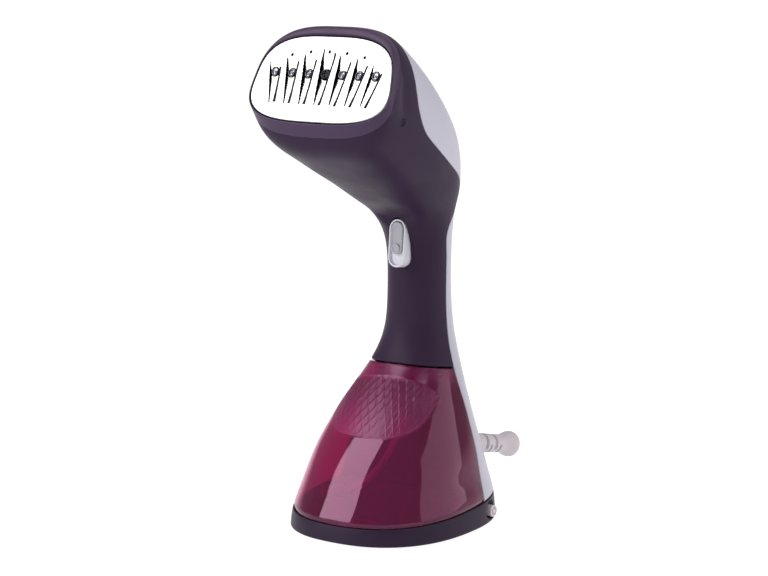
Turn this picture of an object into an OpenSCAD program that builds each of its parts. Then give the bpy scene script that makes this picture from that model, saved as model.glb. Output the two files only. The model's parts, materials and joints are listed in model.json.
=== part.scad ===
// Handheld garment steamer: an upright body with a hammer-shaped head, which
// lifts off a flared water tank on a round base.
// Frame: +Z up, the steam plate faces -Y, the origin is at the centre of the foot plane.

/* [Body walls] */
// Wall thickness of the moulded shells
wall = 2.2; // [1.8:0.1:2.6]
// Gap between the lift-off body and the tank
lift_gap = 0.35; // [0.3:0.05:0.6]
// Height of the seam between handle and tank, above the foot plane
seam_z = 91; // [90:0.5:92]
// Lean of the lift-off direction towards the back, in degrees
lean = 4.33; // [4:0.01:4.6]

/* [Base] */
// Height of the base band at the middle
band_h = 14.2; // [13.5:0.1:15]
// Half width of the base
base_half_w = 54.2; // [53:0.1:55.5]
// Half depth of the base
base_half_d = 62; // [61:0.1:63]
// Height that the rubber feet lift the base
foot_h = 1.5; // [1.2:0.1:2]
// Radius of each rubber foot
foot_r = 6; // [5:0.5:7]

/* [Head] */
// Height of the steam plate's centre
plate_z = 262; // [261:0.1:263]
// Distance of the steam plate's centre in front of the origin
plate_y = 67.4; // [66.5:0.1:68.5]
// Tilt of the head's section at the steam plate, in degrees from level
plate_tilt = 65.7; // [65:0.1:66.5]
// Half width of the steam plate
plate_half_w = 45.8; // [45:0.1:46]
// Half height of the steam plate
plate_half_h = 25.1; // [24.5:0.1:25.5]
// How far the steam plate stands proud of its bezel
plate_proud = 1; // [0.6:0.1:1.4]
// Radius of each steam outlet
outlet_r = 1.1; // [0.8:0.1:1.4]

/* [Handle and trigger] */
// Half width of the handle at its slimmest
grip_half_w = 17.6; // [17:0.1:18.5]
// Height of the trigger's middle
trigger_z = 164; // [162:0.5:165]
// Width of the trigger
trigger_w = 11.4; // [10.8:0.1:12]
// Length of the trigger
trigger_l = 28; // [27:0.1:29]
// Travel of the lock slider
slider_travel = 6; // [5:0.5:6]

/* [Cord guard] */
// Sideways place of the cord guard
guard_x = 24; // [20:0.5:26]
// Height of the cord guard's root
guard_z = 41; // [38:0.5:44]
// Length of the cord guard outside the shell
guard_l = 38; // [34:0.5:42]
// Radius of the hole for the cord
cord_r = 3.6; // [3:0.1:4]

/* [Hidden] */

$fn = 48;
big = 400;
ring_points = 40;

// Sections of the outer skin, from the foot to the steam plate:
// [y, z, tilt, half width, front depth, back depth, roundness exponent, taper]
stations = [
    [0, 0, 0, base_half_w, base_half_d, base_half_d, 2.4, 0],
    [0, band_h, 3.5, 53, 60, 60.5, 2.4, 0],
    [2, 28, 2, 49.5, 55, 55, 2.4, 0],
    [5.5, 48, 0, 44.5, 46.5, 46.5, 2.35, 0],
    [13, 70, -4, 36, 35, 36, 2.3, 0],
    [22.7, seam_z, -9, 26.2, 23.8, 25.6, 2.3, 0],
    [26, 112.5, 0, 19.6, 19.8, 20, 2.2, 0],
    [26.2, 138, 0, grip_half_w, 19, 18.8, 2.2, 0],
    [25.5, 163.5, 0, 19.1, 18.6, 18.6, 2.15, 0],
    [21.3, 180, 3, 23.6, 22.7, 20.1, 2.15, 0],
    [13.2, 196, 14, 32.6, 30.3, 23.8, 2.2, 0],
    [-2.8, 218.3, 32, 41.3, 36.2, 28.7, 2.35, 0.02],
    [-27.7, 238.7, 50, 45.2, 38.1, 33.3, 2.55, 0.05],
    [-55.1, 255, 61, 46, 37.5, 36.7, 2.8, 0.08],
    [-plate_y, plate_z, plate_tilt, plate_half_w + 1.1, plate_half_h + 2.3, plate_half_h + 6, 3, 0.09]
];

// Station numbers where one piece ends and the next begins
band_u = 1;
seam_u = 5;
bezel_u = 13.6;
plate_u = 14;

// Side view of the parting line between the front pieces and the rear shell, [y, z]
parting = [
    [16.25, -10], [17, 0], [19.3, 30], [21.6, 60], [23.9, 91], [27.3, 120], [28.2, 150], [25.5, 167], [27, 176],
    [31.5, 184], [30, 194], [19.5, 201.5], [-3.8, 213.6], [-20.7, 223.4], [-34.5, 233],
    [-41, 244], [-43, 257], [-42.5, 280], [-41.5, 310]
];

// Catmull-Rom blend of four neighbouring values
function blend4(a, b, c, d, t) =
    0.5 * (2 * b + (c - a) * t + (2 * a - 5 * b + 4 * c - d) * t * t
        + (3 * b - a - 3 * c + d) * t * t * t);
// Value of a list of vectors at the fractional index u
function along(list, u) =
    let (last = len(list) - 1, k = min(max(floor(u), 0), last - 1), t = u - k)
    blend4(list[max(k - 1, 0)] * (k > 0 ? 1 : 2) - (k > 0 ? 0 : 1) * list[1],
        list[k], list[k + 1],
        k + 2 > last ? 2 * list[last] - list[last - 1] : list[k + 2], t);
function spline(list, steps) =
    [for (i = [0 : steps * (len(list) - 1)]) along(list, i / steps)];
function signed_pow(v, p) = sign(v) * pow(abs(v), p);

// One ring of the outer skin at station u, drawn in by inset
function ring(u, inset) =
    let (s = along(stations, u), p = 2 / s[6])
    [for (i = [0 : ring_points - 1])
        let (a = 360 * i / ring_points, back = signed_pow(cos(a), p),
            v = back * ((back > 0 ? s[5] : s[4]) - inset),
            x = (s[3] - inset) * signed_pow(sin(a), p) * (1 - s[7] * back))
        [x, s[0] + v * cos(s[2]), s[1] + v * sin(s[2])]];

// Solid of the outer skin between two stations
module skin(from_u, to_u, inset = 0, step = 0.334) {
    count = max(2, ceil((to_u - from_u) / step) + 1);
    points = [for (k = [0 : count - 1]) each ring(from_u + (to_u - from_u) * k / (count - 1), inset)];
    sides = [for (k = [0 : count - 2], i = [0 : ring_points - 1])
        let (j = (i + 1) % ring_points, low = k * ring_points, high = low + ring_points)
        each [[low + i, low + j, high + j], [low + i, high + j, high + i]]];
    bottom = [for (i = [ring_points - 1 : -1 : 0]) i];
    top = [for (i = [0 : ring_points - 1]) (count - 1) * ring_points + i];
    polyhedron(points, concat(sides, [bottom, top]), convexity = 6);
}

// Evaluates freeform solids together as one smooth mesh
module as_mesh() {
    resize([0, 0, 0]) children();
}

// Space in front of or behind the parting line; shift moves the line back
module side_view(points) {
    rotate([90, 0, 90]) linear_extrude(big, center = true) polygon(points);
}
module front_side(shift = 0) {
    line = spline(parting, 6);
    side_view(concat([for (p = line) p + [shift, 0]], [[-big, 310], [-big, -10]]));
}
module rear_side() {
    side_view(concat(spline(parting, 6), [[big, 310], [big, -10]]));
}

// Frames of reference
module along_lift(y, z) {
    translate([0, y, z]) rotate([-lean, 0, 0]) children();
}
module head_frame() {
    translate([0, -plate_y, plate_z]) rotate([plate_tilt, 0, 0]) children();
}
module towards_front(z) {
    translate([0, 0, z]) rotate([90, 0, 0]) children();
}
module pill(w, l) {
    square([w, l - w], center = true);
    for (s = [-1, 1]) translate([0, s * (l - w) / 2]) circle(d = w);
}

// A hose along a hand-placed route
module hose(route, r) {
    path = spline(route, 4);
    sides = 8;
    last = len(path) - 1;
    rings = [for (k = [0 : last])
        let (d = path[min(k + 1, last)] - path[max(k - 1, 0)], t = d / norm(d),
            x = cross(t, [0.31, 0.2, 0.93]), n = x / norm(x), b = cross(t, n))
        each [for (i = [0 : sides - 1]) path[k] + r * (n * cos(45 * i) + b * sin(45 * i))]];
    faces = [for (k = [0 : last - 1], i = [0 : sides - 1])
        let (j = (i + 1) % sides, low = k * sides, high = low + sides)
        each [[low + i, high + j, low + j], [low + i, high + i, high + j]]];
    polyhedron(rings, concat(faces, [[for (i = [0 : sides - 1]) i],
        [for (i = [sides - 1 : -1 : 0]) last * sides + i]]), convexity = 6);
}

// Body shells ---------------------------------------------------------------
window_z = trigger_z - 0.3;
pin_y = 12.5;
pin_z = trigger_z + 11.5;
pin_r = 1.5;
ear_x = 8;

module front_shell() color([0.19, 0.13, 0.2]) difference() {
    as_mesh() intersection() {
        front_side();
        union() {
            difference() {
                skin(seam_u, bezel_u);
                skin(seam_u - 0.2, plate_u, wall);
            }
            intersection() {
                skin(seam_u + 3, seam_u + 5, 1);
                for (s = [-1, 1]) translate([s * (ear_x + 1.5), 11, pin_z]) cube([3, 14, 8], center = true);
            }
        }
    }
    towards_front(window_z) translate([0, 0, -11.6]) linear_extrude(20) pill(trigger_w + 0.8, trigger_l + 1.4);
    translate([-15, pin_y, pin_z]) rotate([0, 90, 0]) cylinder(h = 30, r = pin_r);
}

// Countersunk screws up the back of the body, [y of head, z, tilt]
screw_sites = [[56.5, 30, 14], [47.2, 100, 5], [44.6, 150, 2], [35.2, 205, 25]];
module at_screws() {
    for (s = screw_sites) translate([0, s[0], s[1]]) rotate([s[2] - 90, 0, 0]) children();
}
guard_root_y = 49;
guard_drop = 11.5;
guard_turn = 3;
boss_h = 4.4;
module guard_frame() {
    translate([guard_x, guard_root_y, guard_z]) rotate([0, 0, -guard_turn])
        rotate([-90 - guard_drop, 0, 0]) children();
}
module rear_shell() color([0.86, 0.84, 0.88]) difference() {
    as_mesh() difference() {
        union() {
            intersection() {
                rear_side();
                skin(band_u + 0.03, plate_u);
            }
            guard_frame() translate([0, 0, -12]) cylinder(h = 12 + boss_h, r = 10, $fn = 32);
        }
        skin(band_u + 0.18, plate_u, wall);
        guard_frame() translate([0, 0, boss_h]) cylinder(h = 8, r = 8.2, $fn = 32);
    }
    guard_frame() translate([0, 0, -20]) cylinder(h = 30, r = 6);
    at_screws() translate([0, 0, -6]) cylinder(h = 12, r = 1.7);
    at_screws() translate([0, 0, -1.6]) cylinder(h = 12, r = 3.3);
}

module head_bezel() color([0.24, 0.18, 0.25]) as_mesh() difference() {
    skin(bezel_u, plate_u);
    head_frame() translate([0, 0, -30]) linear_extrude(60) plate_outline(0.25);
    skin(bezel_u - 0.3, plate_u - 0.12, wall);
}

module spine_panel() color([0.15, 0.11, 0.16]) difference() {
    as_mesh() intersection() {
        skin(band_u + 0.2, seam_u, wall + 0.1);
        along_lift(17.1, 0) translate([-big / 2, 0, 0]) cube([big, 2, big]);
    }
    for (s = [-1, 1]) translate([s * 24, 10, 66]) rotate([-90, 0, 0]) cylinder(h = 20, r = 1.6);
}

// Tank connection -----------------------------------------------------------
mouth_y = 10.5;
mouth_z = 93;
spigot_r = 5.5;
spigot_bore = 2.6;
module connector_plate() color([0.15, 0.11, 0.16]) difference() {
    union() {
        as_mesh() intersection() {
            skin(seam_u + 0.02, seam_u + 0.12, wall + 0.1);
            front_side(-0.4);
        }
        along_lift(mouth_y, mouth_z) translate([0, 0, -13]) cylinder(h = 19, r = spigot_r);
    }
    along_lift(mouth_y, mouth_z) translate([0, 0, -20]) cylinder(h = 40, r = spigot_bore);
}
module connector_seal() color([0.1, 0.1, 0.1]) along_lift(mouth_y, mouth_z)
    translate([0, 0, -10]) rotate_extrude() polygon([[spigot_r, 0], [7.1, 0.6], [7.1, 2.4], [spigot_r, 3]]);

// Head ----------------------------------------------------------------------
flute_pitch = 11.3;
flute_fan = 3.35;
outlet_v = 3.3;
dimple_pitch = 12.2;
hole_sides = [-3, -2, -1, 1, 2, 3];
function plate_ring(grow) = [for (i = [0 : 71])
    let (a = 5 * i, p = 2 / 3.1, v = signed_pow(cos(a), p))
    [(plate_half_w + grow) * signed_pow(sin(a), p) * (1 - 0.09 * v), (plate_half_h + grow) * v]];
module plate_outline(grow = 0) polygon(plate_ring(grow));
// Length of each flute above the outlets, from the middle outwards
flute_top = [14, 9.5, 8.7, 2.5];
flute_low = 19;
module flute(k) {
    up = flute_top[abs(k)];
    translate([k * flute_pitch, outlet_v]) rotate(-k * flute_fan)
        polygon([[-3.9, up], [-1.9, -flute_low], [1.9, -flute_low], [3.9, up]]);
}
module steam_plate() color([0.83, 0.83, 0.84]) head_frame() difference() {
    translate([0, 0, -3]) linear_extrude(3 + plate_proud) plate_outline(0);
    for (k = [-3 : 3]) translate([0, 0, plate_proud - 0.7]) linear_extrude(2) difference() {
        flute(k);
        translate([k * flute_pitch, outlet_v]) circle(r = 3.1);
    }
    for (k = hole_sides) translate([k * flute_pitch, outlet_v, -10]) cylinder(h = 20, r = 2.2);
    translate([0, outlet_v, -10]) cylinder(h = 20, r = 1.6);
    translate([0, outlet_v, plate_proud - 1.2]) cylinder(h = 5, r = 2.8);
    for (k = [-2 : 2]) translate([k * dimple_pitch, outlet_v + 12.6 - 0.65 * k * k, plate_proud - 1])
        cylinder(h = 5, r = 0.6);
}
module steam_nozzles() color([0.7, 0.7, 0.71]) head_frame() for (k = hole_sides)
    translate([k * flute_pitch, outlet_v, -3]) difference() {
        cylinder(h = 3 + plate_proud - 0.2, r = 2.2);
        translate([0, 0, -1]) cylinder(h = 10, r = outlet_r);
    }
module plate_screw() color([0.35, 0.35, 0.36]) head_frame() translate([0, outlet_v, 0]) {
    translate([0, 0, -12]) cylinder(h = 12, r = 1.6);
    difference() {
        translate([0, 0, plate_proud - 1.2]) cylinder(h = 1, r = 2.8);
        for (a = [0, 90]) rotate(a) translate([-1.8, -0.35, plate_proud - 0.8]) cube([3.6, 0.7, 3]);
    }
}

// Steam chamber: cast block, U-shaped element cast into it, gasket and cover
block_low = -17;
block_high = -3;
element_r = 3.2;
element_y = 11;
element_z = -9.5;
bend_x = -17.5;
leg_x = 33.5;
module element_solid(r) {
    for (s = [-1, 1]) translate([bend_x, s * element_y, element_z]) rotate([0, 90, 0])
        cylinder(h = leg_x - bend_x, r = r);
    translate([bend_x, 0, element_z]) rotate([0, 0, 90]) rotate_extrude(angle = 180)
        translate([element_y, 0]) circle(r = r);
}
module terminal_pins(r, low) {
    for (s = [-1, 1]) translate([leg_x - 5, s * element_y, low]) cylinder(h = element_z - low, r = r);
}
cover_corners = [[-34, 9], [36, 0], [-34, -10], [0, -16.6], [0, 16.6]];
module heater_block() color([0.72, 0.73, 0.75]) head_frame() difference() {
    translate([0, 0, block_low]) linear_extrude(block_high - block_low) plate_outline(-5.2);
    element_solid(element_r);
    terminal_pins(element_r, block_low - 1);
    for (k = hole_sides) translate([k * flute_pitch, outlet_v, block_low - 1]) cylinder(h = 30, r = outlet_r);
    translate([0, outlet_v, -12]) cylinder(h = 30, r = 1.6);
    for (c = cover_corners) translate([c[0], c[1], block_low - 1]) cylinder(h = 7, r = 1.2);
    translate([-24, -6, block_low - 1]) cube([44, 3, 4]);
    translate([-24, -6, block_low - 1]) cube([3, 11.5, 4]);
}
module heating_element() color([0.45, 0.44, 0.42]) head_frame() {
    element_solid(element_r);
    terminal_pins(1.5, -28);
}
module chamber_gasket() color([0.75, 0.3, 0.2]) head_frame() difference() {
    translate([0, 0, block_low - 1]) linear_extrude(1) plate_outline(-5.7);
    translate([0, 0, block_low - 2]) linear_extrude(3) square([50, 14], center = true);
    terminal_pins(3.4, -28);
    for (c = cover_corners) translate([c[0], c[1], block_low - 5]) cylinder(h = 12, r = 1.4);
}
module chamber_cover() color([0.66, 0.67, 0.69]) head_frame() difference() {
    translate([0, 0, block_low - 3]) linear_extrude(2) plate_outline(-5.7);
    terminal_pins(3.4, -28);
    for (c = cover_corners) translate([c[0], c[1], block_low - 5]) cylinder(h = 12, r = 1.4);
    translate([14, 0, block_low - 5]) cylinder(h = 6, r = 2);
}
module cover_screws() color([0.6, 0.6, 0.6]) head_frame() for (c = cover_corners)
    translate([c[0], c[1], block_low - 3]) {
        cylinder(h = 7, r = 1.15);
        difference() {
            translate([0, 0, -2]) cylinder(h = 2, r = 2.2);
            translate([-1.7, -0.4, -3]) cube([3.4, 0.8, 1.6]);
        }
    }
module heat_shield() color([0.2, 0.19, 0.19]) head_frame() difference() {
    translate([0, 0, block_low - 3]) linear_extrude(block_high - block_low + 2.4) plate_outline(-3.6);
    translate([0, 0, block_low - 5]) linear_extrude(40) plate_outline(-4.8);
}
module thermostat() color([0.82, 0.8, 0.72]) head_frame() translate([-14, 0, block_low - 3]) {
    translate([0, 0, -5]) cylinder(h = 5, r = 8);
    translate([0, 0, -7.5]) cylinder(h = 2.5, r = 5.5);
    for (s = [-1, 1]) translate([s * 3.2 - 1.5, -0.4, -13]) cube([3, 0.8, 5.5]);
}
module thermal_fuse() color([0.85, 0.85, 0.8]) head_frame()
    translate([4, -10, block_low - 5]) rotate([0, 90, 0]) {
        cylinder(h = 16, r = 2);
        translate([0, 0, -5]) cylinder(h = 26, r = 0.5);
    }
module steam_inlet() color([0.75, 0.6, 0.3]) head_frame() translate([14, 0, block_low - 3]) difference() {
    union() {
        translate([0, 0, -1.5]) cylinder(h = 1.5, r = 4);
        translate([0, 0, -12]) cylinder(h = 14, r = 2);
    }
    translate([0, 0, -13]) cylinder(h = 20, r = 1);
}

// Pump and hoses ------------------------------------------------------------
pump_y = 35;
module pump_body() color([0.9, 0.9, 0.88]) along_lift(pump_y - 3.5, 0) difference() {
    union() {
        translate([0, 0, 32]) cylinder(h = 38, r = 6.5);
        translate([0, 0, 26]) cylinder(h = 6, r = 2.4);
        translate([0, 0, 70]) cylinder(h = 6, r = 2.4);
        translate([0, 0, 33]) cylinder(h = 5, r = 8.5);
        translate([0, 0, 64]) cylinder(h = 4, r = 8.5);
    }
    translate([0, 0, 20]) cylinder(h = 60, r = 1.2);
}
module pump_coil() color([0.55, 0.3, 0.15]) along_lift(pump_y - 3.5, 0) difference() {
    translate([-11, -9, 41]) cube([22, 18, 20]);
    translate([0, 0, 40]) cylinder(h = 30, r = 6.5);
}
module pump_mounts() color([0.12, 0.12, 0.12]) along_lift(pump_y - 3.5, 0) for (z = [38, 61])
    translate([0, 0, z]) difference() {
        translate([-7, -11, 0]) cube([14, 20, 3]);
        translate([0, 0, -1]) cylinder(h = 6, r = 6.5);
    }
inlet_route = [
    [0, 11, 99.3], [0, 12, 106], [0, 17, 113], [0, 25, 113], [0, 29.5, 104], [-6, 30, 94],
    [-13, 29, 84], [-16, 29, 70], [-16, 30, 50], [-14, 32, 32], [-8, 33, 22], [-2, 33, 21.5], [0, 33.2, 25]
];
outlet_route = [
    [0, 37, 77], [1, 38, 84], [4, 36, 96], [7, 33, 112], [9, 32, 140], [9, 32, 165],
    [9, 30, 190], [9, 22, 212], [11, 6, 226], [13, -12, 233], [14, -28, 244.2], [14, -37.6, 248.5]
];
module inlet_hose() color([0.85, 0.85, 0.85]) hose(inlet_route, 2);
module outlet_hose() color([0.85, 0.85, 0.85]) hose(outlet_route, 2);

// Electrics -----------------------------------------------------------------
module circuit_board() color([0.1, 0.4, 0.2]) along_lift(21, 0) {
    translate([-36, 0, 24]) cube([18, 1.6, 30]);
    translate([-34, 1.6, 30]) cube([9, 8, 7]);
    translate([-29, 9, 46]) rotate([90, 0, 0]) cylinder(h = 7.4, r = 3);
}
module terminal_block() color([0.9, 0.9, 0.86]) along_lift(20, 0) difference() {
    translate([16, 0, 20]) cube([22, 9, 8]);
    for (x = [20.5, 27, 33.5]) translate([x, 4.5, 19]) cylinder(h = 12, r = 1.4);
}
module cord_clamp() color([0.2, 0.2, 0.2]) guard_frame() translate([0, 0, -18]) difference() {
    translate([-8, -5, 0]) cube([16, 10, 4]);
    translate([0, 0, -1]) cylinder(h = 10, r = cord_r);
}
switch_y = 16.6;
spring_up = 4.5;
module microswitch() color([0.12, 0.12, 0.13]) {
    translate([-3.2, switch_y, trigger_z - 17]) cube([6.4, 10, 16]);
    translate([-1, switch_y - 0.4, trigger_z - 12]) cube([2, 0.4, 2.4]);
}
module switch_bracket() color([0.2, 0.15, 0.2]) difference() {
    union() {
        translate([-12, switch_y + 10, trigger_z - 18]) cube([24, 2.4, 30]);
        translate([-4, switch_y + 1, trigger_z]) cube([8, 9, 9]);
    }
    translate([0, switch_y - 2, trigger_z + spring_up]) rotate([-90, 0, 0]) cylinder(h = 6, r = 3);
}
wire_routes = [
    [[20, 31.6, 29.6], [18, 38, 35], [14, 42, 46], [13, 42, 62], [9, 41, 84], [6, 38.5, 104],
        [5.5, 37.5, 128], [5, 37, 150], [-3, 34.5, 170], [-8, 31, 188], [-12, 20, 210], [-17, 0, 230], [-17.2, -24, 243], [-17.2, -35.2, 248]],
    [[-22, 28, 50], [-22, 34, 62], [-18, 38, 80], [-10, 38, 104], [-8, 34, 128], [-3, 31, 146]]
];
module wiring_loom() color([0.7, 0.1, 0.1]) for (route = wire_routes) hose(route, 1);

// Trigger -------------------------------------------------------------------
face_lean = 5.3;
face_y = 3.4;
module trigger_frame() {
    translate([0, face_y, trigger_z]) rotate([90 - face_lean, 0, 0]) children();
}
module trigger() color([0.72, 0.71, 0.76]) difference() {
    union() {
        difference() {
            trigger_frame() translate([0, 0, -12]) linear_extrude(12) pill(trigger_w, trigger_l);
            translate([-20, pin_y, 0]) cube([40, 20, big]);
        }
        towards_front(trigger_z) translate([0, 0, -pin_y - 1.4]) linear_extrude(2.2) pill(14.2, trigger_l + 3.2);
        translate([-7, pin_y, pin_z]) rotate([0, 90, 0]) cylinder(h = 14, r = 3);
    }
    translate([-20, pin_y, pin_z]) rotate([0, 90, 0]) cylinder(h = 40, r = pin_r + 0.05);
    trigger_frame() translate([0, 0, -1.6]) linear_extrude(4) pill(7.4, 24.4);
}
module trigger_pin() color([0.7, 0.7, 0.7]) translate([-ear_x - 3, pin_y, pin_z]) rotate([0, 90, 0])
    cylinder(h = 2 * ear_x + 6, r = pin_r);
module trigger_spring() color([0.6, 0.6, 0.6]) translate([0, pin_y + 1.5, trigger_z + spring_up])
    rotate([-90, 0, 0]) difference() {
        cylinder(h = 6.6, r = 2.6);
        translate([0, 0, -1]) cylinder(h = 10, r = 1.9);
    }
module lock_slider() color([0.6, 0.6, 0.64]) trigger_frame() translate([0, slider_travel / 2, -1.5]) difference() {
    linear_extrude(2.3) pill(6.8, 18);
    for (k = [-1 : 1]) translate([-2, k * 2.4 + 3, 1.8]) cube([4, 0.8, 2]);
}

// Cord guard ----------------------------------------------------------------
module cord_guard() color([0.8, 0.76, 0.8]) guard_frame() difference() {
    rotate_extrude() polygon(concat(
        [[cord_r, -10], [5.9, -10], [5.9, boss_h], [7.6, boss_h], [7.2, boss_h + 1.8]],
        [for (k = [0 : 2], p = [[6.4 - 0.2 * k, 7], [6.4 - 0.2 * k, 9.9], [4.9, 10.3], [4.9, 11.7]])
            p + [0, 5.2 * k]],
        [[5.9, 23.6], [5.7, 27], [5.9, 30], [6.6, 32.5], [7.5, 34.5], [7.8, 36], [7.8, guard_l],
            [6.6, guard_l], [cord_r, guard_l - 3]]));
}
module body_screws() color([0.6, 0.6, 0.6]) at_screws() {
    translate([0, 0, -11]) cylinder(h = 9.4, r = 1.6);
    difference() {
        translate([0, 0, -1.6]) cylinder(h = 1.3, r = 3.1);
        for (a = [0, 90]) rotate(a) translate([-2, -0.4, -1.1]) cube([4, 0.8, 2]);
    }
}

// Tank ----------------------------------------------------------------------
tank_wall = 2;
mouth_r = 7.2;
module tank_space(from_u, to_u, inset) intersection() {
    skin(from_u, to_u, inset);
    front_side(-lift_gap - inset);
}
module water_tank() color([0.55, 0.12, 0.3, 0.6]) difference() {
    as_mesh() difference() {
        tank_space(band_u, seam_u - 0.018, 0);
        tank_space(band_u + 0.16, seam_u - 0.12, tank_wall);
        along_lift(mouth_y, mouth_z) translate([0, 0, -20]) cylinder(h = 40, r = mouth_r);
    }
    along_lift(mouth_y, mouth_z) translate([0, 0, -20]) cylinder(h = 40, r = mouth_r + 1);
}
module mouth_grommet() color([0.1, 0.1, 0.1]) along_lift(mouth_y, mouth_z) difference() {
    translate([0, 0, -12]) cylinder(h = 11, r = mouth_r + 1);
    translate([0, 0, -14]) cylinder(h = 14, r = mouth_r);
}
module dip_tube() color([0.9, 0.9, 0.9]) hose([
    [0, 9.4, 78.4], [0, 8.8, 72], [0, 6, 55], [-3, -4, 38], [-8, -18, 26], [-14, -28, 22.5]
], 2.2);
module intake_filter() color([0.75, 0.75, 0.72]) translate([-14, -28, 22.5]) rotate([0, 90, 233])
    difference() {
        cylinder(h = 14, r = 4.2);
        translate([0, 0, 3]) rotate_extrude() translate([4.2, 0]) square([0.8, 0.8]);
        translate([0, 0, 8]) rotate_extrude() translate([4.2, 0]) square([0.8, 0.8]);
        translate([0, 0, -1]) cylinder(h = 3.5, r = 2.2);
    }

// Base ----------------------------------------------------------------------
button_y = 27.5;
button_z = 8;
button_r = 3.4;
button_x = 49;
base_wall = 2.4;
cover_screw_xy = [[42, 0], [-42, 0], [0, 48], [0, -48]];
centre_pad_r = 9;
feet_xy = [[30, 40], [-30, 40], [30, -40], [-30, -40]];
module base_ring() color([0.19, 0.13, 0.2]) as_mesh() difference() {
    union() {
        difference() {
            intersection() {
                skin(0, band_u);
                translate([-big / 2, -big / 2, foot_h]) cube([big, big, big]);
            }
            skin(-0.001, band_u - 0.2, base_wall);
            for (s = [-1, 1]) translate([s * 56, button_y, button_z]) sphere(r = 9, $fn = 24);
        }
        for (s = cover_screw_xy) translate([s[0], s[1], 4.4]) cylinder(h = 8 + 0.05 * s[1], r = 4, $fn = 24);
    }
    for (s = cover_screw_xy) translate([s[0], s[1], 3]) cylinder(h = 6, r = 1.5);
    for (s = [-1, 1]) translate([s * 40 - 15, button_y, button_z]) rotate([0, 90, 0])
        cylinder(h = 30, r = button_r + 0.05);
}
module base_cover() color([0.14, 0.1, 0.15]) difference() {
    as_mesh() union() {
        skin(0.11, 0.22, base_wall + 0.15);
        cylinder(h = 2.4, r = centre_pad_r);
    }
    for (f = feet_xy) translate([f[0], f[1], 0]) cylinder(h = 2.6, r = foot_r);
    for (s = cover_screw_xy) translate([s[0], s[1], 0]) cylinder(h = 10, r = 1.7);
}
module base_screws() color([0.6, 0.6, 0.6]) for (s = cover_screw_xy) translate([s[0], s[1], 0.1]) {
    translate([0, 0, 1]) cylinder(h = 6, r = 1.5);
    difference() {
        cylinder(h = 1, r = 2.8);
        translate([-2.2, -0.4, -1]) cube([4.4, 0.8, 1.7]);
    }
}
module rubber_feet() color([0.08, 0.08, 0.08]) for (f = feet_xy) translate([f[0], f[1], 0])
    rotate_extrude() polygon([[0, 0], [foot_r - 1, 0], [foot_r, 0.8], [foot_r, 2.6], [0, 2.6]]);

// Side buttons: a round cap on a stem, with a flange behind the base wall
module release_button(s) color([0.8, 0.74, 0.78]) translate([0, button_y, button_z]) rotate([0, s * 90, 0]) {
    difference() {
        translate([0, 0, 38]) cylinder(h = 15, r = button_r);
        translate([0, 0, 52.4]) rotate_extrude() translate([1.5, 0]) square([0.7, 2]);
    }
    translate([0, 0, 36]) cylinder(h = 2.4, r = 4.2);
}
module button_spring(s) color([0.6, 0.6, 0.6]) translate([0, button_y, button_z]) rotate([0, s * 90, 0])
    difference() {
        translate([0, 0, 26]) cylinder(h = 10, r = 3);
        translate([0, 0, 25]) cylinder(h = 12, r = 2.3);
    }
module release_button_left() release_button(-1);
module release_button_right() release_button(1);
module button_spring_left() button_spring(-1);
module button_spring_right() button_spring(1);

front_shell();
rear_shell();
head_bezel();
spine_panel();
connector_plate();
connector_seal();
steam_plate();
steam_nozzles();
plate_screw();
heater_block();
heating_element();
chamber_gasket();
chamber_cover();
cover_screws();
heat_shield();
thermostat();
thermal_fuse();
steam_inlet();
pump_body();
pump_coil();
pump_mounts();
inlet_hose();
outlet_hose();
circuit_board();
terminal_block();
microswitch();
switch_bracket();
trigger();
trigger_pin();
trigger_spring();
lock_slider();
cord_guard();
cord_clamp();
body_screws();
wiring_loom();
water_tank();
mouth_grommet();
dip_tube();
intake_filter();
base_ring();
base_cover();
base_screws();
rubber_feet();
release_button_left();
release_button_right();
button_spring_left();
button_spring_right();
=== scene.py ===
import json
import math

import bpy
import numpy as np
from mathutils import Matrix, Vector

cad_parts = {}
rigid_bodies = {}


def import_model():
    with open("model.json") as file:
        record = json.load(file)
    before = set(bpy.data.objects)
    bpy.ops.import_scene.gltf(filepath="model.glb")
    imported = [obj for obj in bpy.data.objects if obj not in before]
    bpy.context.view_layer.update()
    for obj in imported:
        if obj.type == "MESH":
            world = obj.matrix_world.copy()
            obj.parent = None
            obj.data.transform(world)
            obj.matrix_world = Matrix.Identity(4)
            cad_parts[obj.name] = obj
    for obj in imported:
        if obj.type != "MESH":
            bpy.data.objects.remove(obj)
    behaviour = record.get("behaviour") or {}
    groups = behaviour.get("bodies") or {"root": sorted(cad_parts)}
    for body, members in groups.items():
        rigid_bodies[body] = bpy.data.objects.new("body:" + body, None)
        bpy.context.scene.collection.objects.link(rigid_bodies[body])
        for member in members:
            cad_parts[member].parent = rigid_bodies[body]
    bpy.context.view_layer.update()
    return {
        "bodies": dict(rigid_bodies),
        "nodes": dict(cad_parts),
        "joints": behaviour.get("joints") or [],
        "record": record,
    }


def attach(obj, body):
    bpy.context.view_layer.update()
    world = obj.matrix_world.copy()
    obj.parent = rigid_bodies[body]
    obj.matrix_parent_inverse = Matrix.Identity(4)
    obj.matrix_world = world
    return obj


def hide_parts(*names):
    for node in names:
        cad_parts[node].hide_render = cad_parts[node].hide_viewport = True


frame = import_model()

# ------------------------------------------------------------------ basics
# Lengths are in millimetres up to the moment a mesh is made.
MM = 0.001

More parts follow.
